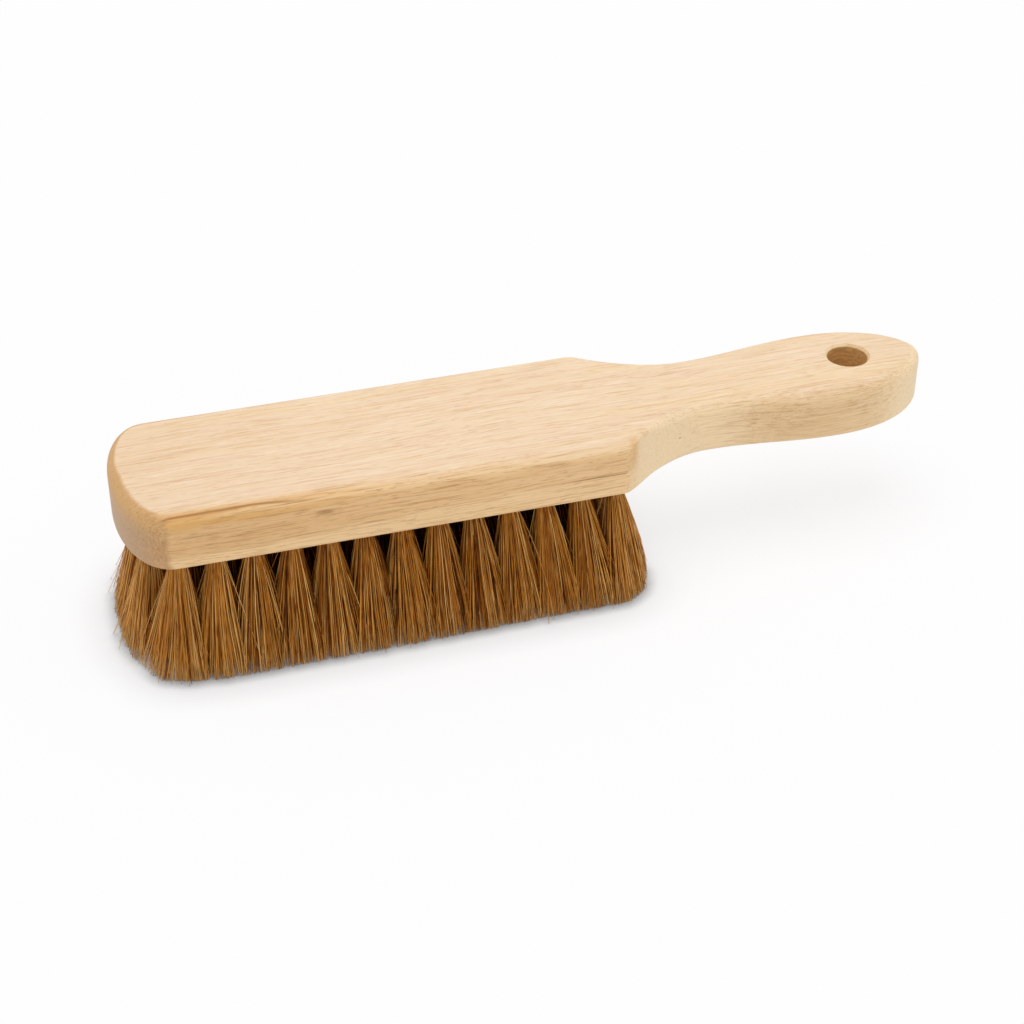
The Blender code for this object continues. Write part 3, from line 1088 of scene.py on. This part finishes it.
fieldLow = min(root.x for root in roots.values())
fieldHigh = max(root.x for root in roots.values())
outerRow = max(root.y for root in roots.values())


def fitsTrim(x, y):
    # whether a tip at these places, in arrays, lies inside the trimmed outline
    along = x - nose
    narrowed = np.clip(1 - along / trim["narrowLength"], 0, None) ** 2 * trim["narrowing"]
    start, length = trim["endNarrowingFade"]
    narrowed += np.clip((along - start) / length, 0, 1) * trim["endNarrowing"]
    fromStart = np.clip(1 - (along - trim["start"]) / trim["startDepth"], 0, None)
    fromEnd = np.clip(1 - (trim["end"] - along) / trim["endDepth"], 0, None)
    across = np.abs(y) / (trim["half"] - narrowed)
    fullness = trim["fullness"]
    return (across ** fullness + fromStart ** fullness + fromEnd ** fullness) <= 1


def trimmedShare(x, y, reachX, reachY, halvings=10):
    # how much of the way from x, y each tip can go before it meets the trimmed outline
    low, high = np.zeros(len(reachX)), np.ones(len(reachX))
    for halving in range(halvings):
        middle = (low + high) / 2
        inside = fitsTrim(x + reachX * middle, y + reachY * middle)
        low, high = np.where(inside, middle, low), np.where(inside, high, middle)
    return np.where(fitsTrim(x + reachX, y + reachY), 1, low)


def tuftFan(root, towards, isEnd, count, chance):
    # where every fibre leaves the wood and where its tip is, along and across from the hole's
    # middle, and how far outside an end tuft it stands
    number = np.arange(count)
    varies = fibre["turnVaries"]
    goldenTurn = math.pi * (3 - math.sqrt(5))
    turn = number * goldenTurn + chance.uniform(-varies, varies, count)
    reach = np.sqrt((number + 0.5) / count)
    rayX, rayY = np.cos(turn), np.sin(turn)
    squarer = np.maximum(abs(rayX), abs(rayY)) ** -fibre["squareness"][isEnd]
    far = reach * squarer * chance.uniform(*fibre["reachVaries"], count)
    reachX, reachY = fibre["tipReach"]
    outside = (rayX * towards > 0) & isEnd
    reachX = np.where(outside, fibre["endReach"], reachX)
    reachY = fibre["endReach"] if isEnd else reachY
    endX = rayX * far * reachX + fibre["endLean"] * towards
    # a few fibres lean across their neighbours
    crossing = chance.random(count) < fibre["crossShare"]
    endX = endX + crossing * chance.normal(0, fibre["crossReach"], count)
    endY = rayY * far * reachY + fibre["sideLean"] * root.y / outerRow
    room = trimmedShare(root.x, root.y, endX, endY)
    trimmed = np.where(room < 1, room * (1 - chance.random(count) * trim["softness"]), 1)
    stray = chance.random(count) < fibre["strayShare"][isEnd]
    trimmed = np.where(stray, trimmed * chance.uniform(*fibre["strayReach"], count), trimmed)
    starts = np.stack((rayX, rayY), 1) * (reach * fibre["rootRadius"])[:, None]
    ends = np.stack((endX, endY), 1) * trimmed[:, None]
    return starts, ends, outside * reach ** 3


def fibrePlaces(root, points, starts, ends, outward, bow, chance):
    # the places of the points of every fibre, which starts at the fold inside the hole, and
    # how far each point has come from the wood, 0, to the floor, 1
    count = len(starts)
    inHole = drill["depth"] * fibre["foldDepth"]
    # the ends are uneven, most of all outside the end tufts
    uneven = fibre["ragged"] + outward * fibre["endRagged"]
    height = inHole + underside - uneven * chance.random(count) ** 2
    depth = -points[None, :, 2] * height[:, None] - inHole
    fall = np.clip(depth / underside, 0, 1)
    fan = 1 - (1 - fall)[:, :, None] ** np.array(bow)
    wander = chance.normal(0, fibre["wander"], (count, 2))
    wave = chance.normal(0, fibre["wave"], (count, 2))
    waves = chance.uniform(*fibre["waves"], count)
    path = starts[:, None] + (ends - starts)[:, None] * fan
    path += wander[:, None] * np.sin(fall * math.pi)[:, :, None]
    path += wave[:, None] * np.sin(fall * waves[:, None] * math.pi)[:, :, None]
    spin = chance.uniform(0, math.tau, count)[:, None]
    girth = chance.uniform(*fibre["girth"], count)[:, None]
    cos, sin = np.cos(spin), np.sin(spin)
    flatX, flatY = points[:, 0], points[:, 1]
    placed = np.empty((count, len(points), 3))
    placed[:, :, 0] = root.x + path[:, :, 0] + girth * (flatX * cos - flatY * sin)
    placed[:, :, 1] = root.y + path[:, :, 1] + girth * (flatX * sin + flatY * cos)
    placed[:, :, 2] = underside - depth
    return placed, fall


def fibreShades(fall, outward, towards, getsPaintedShade, chance):
    drawn = chance.normal(fibreLook["meanShade"], fibreLook["shadeVaries"], len(fall))
    shades = np.clip(drawn, *fibreLook["shadeRange"])[:, None] - fibreLook["fallShade"] * fall
    # painted light: the trimmed ends are lighter, as if lit from all round
    lightFrom = fibreLook["paintedTipLightFrom"]
    lit = np.clip((fall - lightFrom) / (1 - lightFrom), 0, 1)
    shades = shades + fibreLook["paintedTipLight"] * lit
    # painted light: the fibres outside the end tufts are paler, as if lit from behind
    shades = shades + (outward * fibreLook["paintedOutwardLight"])[:, None]
    # painted shade: the inner rows are darker towards the wood, deep inside the brush
    if getsPaintedShade:
        shades = shades - fibreLook["paintedInnerShade"] * (1 - fall)
    # painted light: the tufts near the nose, and a little those near the shoulder, are lighter
    if abs(towards) > fibreLook["paintedEndLightFrom"]:
        shades = shades + fibreLook["paintedEndLight"][towards > 0]
    return shades


def fibreMesh(name, template, placed, shades):
    # every fibre has the template's faces, at its own places
    count, size = placed.shape[:2]
    faces = [list(face.vertices) for face in template.data.polygons]
    sides = np.array([face for face in faces if len(face) == 4])
    caps = [face for face in faces if len(face) != 4]
    shifts = np.arange(count)[:, None, None] * size
    allFaces = (sides[None] + shifts).reshape(-1, 4).tolist()
    allFaces += [[index + size * one for index in cap] for one in range(count) for cap in caps]
    mesh = bpy.data.meshes.new(name)
    mesh.from_pydata(placed.reshape(-1, 3).tolist(), [], allFaces)
    attribute = mesh.attributes.new("fibreShade", "FLOAT", "POINT")
    attribute.data.foreach_set("value", shades.reshape(-1).astype(np.float32))
    mesh.shade_smooth()
    return mesh


def makeTuft(node, root, template, paintwork, chance):
    # towards runs from -1 at the nose to 1 at the shoulder
    towards = (root.x - (fieldLow + fieldHigh) / 2) / ((fieldHigh - fieldLow) / 2)
    isEnd = abs(towards) > fibre["endTuftsFrom"]
    isInner = abs(root.y) < outerRow / 2
    kind = "inEndTuft" if isEnd else "inInnerTuft" if isInner else "inOuterTuft"
    starts, ends, outward = tuftFan(root, towards, isEnd, fibre[kind], chance)
    bow = fibre["bow"][isEnd * (1 + (towards > 0))]
    points = np.array([vert.co for vert in template.data.vertices])
    placed, fall = fibrePlaces(root, points, starts, ends, outward, bow, chance)
    shades = fibreShades(fall, outward, towards, isInner and not isEnd, chance)
    mesh = fibreMesh("bristles_" + node[5:], template, placed, shades)
    mesh.materials.append(paintwork)
    tuft = bpy.data.objects.new(mesh.name, mesh)
    bpy.context.scene.collection.objects.link(tuft)
    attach(tuft, "root")
    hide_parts(node)
    return tuft


template = fibreTemplate()
paintwork = bristleFinish()
chance = np.random.default_rng(fibre["seed"])
tufts = [makeTuft(node, roots[node], template, paintwork, chance) for node in tuftNodes]
bpy.data.objects.remove(template)
print("bristles set:", len(tufts), "tufts")
